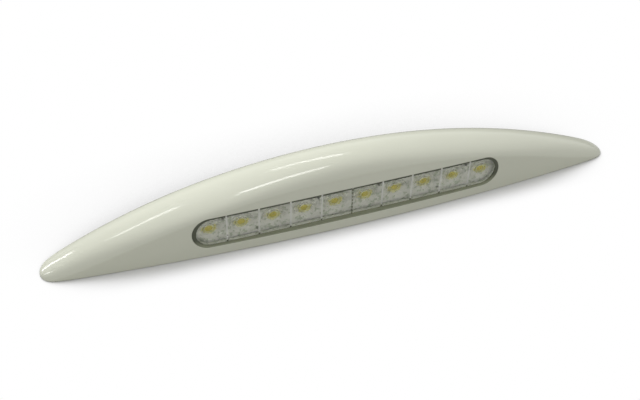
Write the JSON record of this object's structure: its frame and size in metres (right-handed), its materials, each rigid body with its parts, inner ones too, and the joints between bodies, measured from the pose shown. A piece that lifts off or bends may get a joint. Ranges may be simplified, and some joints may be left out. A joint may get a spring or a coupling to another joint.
{
  "type": "awning light",
  "caption": "Bow-shaped wall lamp for above an awning or door: a glossy shell on a flat mounting plate, with a straight round-ended window over a row of lensed LEDs.",
  "frame": {"origin": "middle of the mounting face, halfway along and across the cover's outline", "axes": "+X along the lamp, +Z out of the wall, away from the mounting face; the window faces -Y"},
  "size_m": [0.38, 0.056, 0.0425],
  "materials": {
    "cover_gloss": "glossy off-white moulded polycarbonate",
    "base_dark": "moulded plastic with a fine grain",
    "seal_rubber": "closed-cell rubber",
    "lens_clear": "clear moulded acrylic",
    "gasket_rubber": "dark silicone",
    "board_white": "white solder mask on an aluminium core",
    "led_yellow": "phosphor under clear silicone",
    "pad_grey": "soft filled silicone",
    "carrier_metal": "plain mill finish",
    "screw_steel": "zinc-plated steel",
    "board_green": "green solder mask on glass-epoxy board",
    "coil_ferrite": "dark ferrite",
    "can_metal": "satin drawn can",
    "chip_black": "moulded epoxy",
    "terminal_green": "moulded nylon",
    "clamp_brass": "plated brass",
    "plug_cream": "moulded nylon",
    "lead_red": "red insulation",
    "lead_black": "black insulation",
    "grommet_rubber": "soft moulded rubber"
  },
  "bodies": {
    "root": {"cover": "cover_gloss", "base_plate": "base_dark", "wall_seal": "seal_rubber", "lens": "lens_clear", "lens_gasket": "gasket_rubber", "led_board": "board_white", "thermal_pad": "pad_grey", "led_1": "led_yellow", "led_2": "led_yellow", "led_3": "led_yellow", "led_4": "led_yellow", "led_5": "led_yellow", "led_6": "led_yellow", "led_7": "led_yellow", "led_8": "led_yellow", "led_9": "led_yellow", "led_10": "led_yellow", "led_carrier": "carrier_metal", "clamp_screws": "screw_steel", "foot_screws": "screw_steel", "driver_board": "board_green", "driver_screws": "screw_steel", "inductor": "coil_ferrite", "input_capacitor": "can_metal", "output_capacitor": "can_metal", "driver_chip": "chip_black", "rectifier_diode": "chip_black", "chip_resistors": "chip_black", "terminal_block": "terminal_green", "terminal_clamps": "clamp_brass", "terminal_screws": "screw_steel", "lead_header": "plug_cream", "lead_plug": "plug_cream", "lead_red": "lead_red", "lead_black": "lead_black", "cable_grommet": "grommet_rubber"}
  },
  "joints": []
}
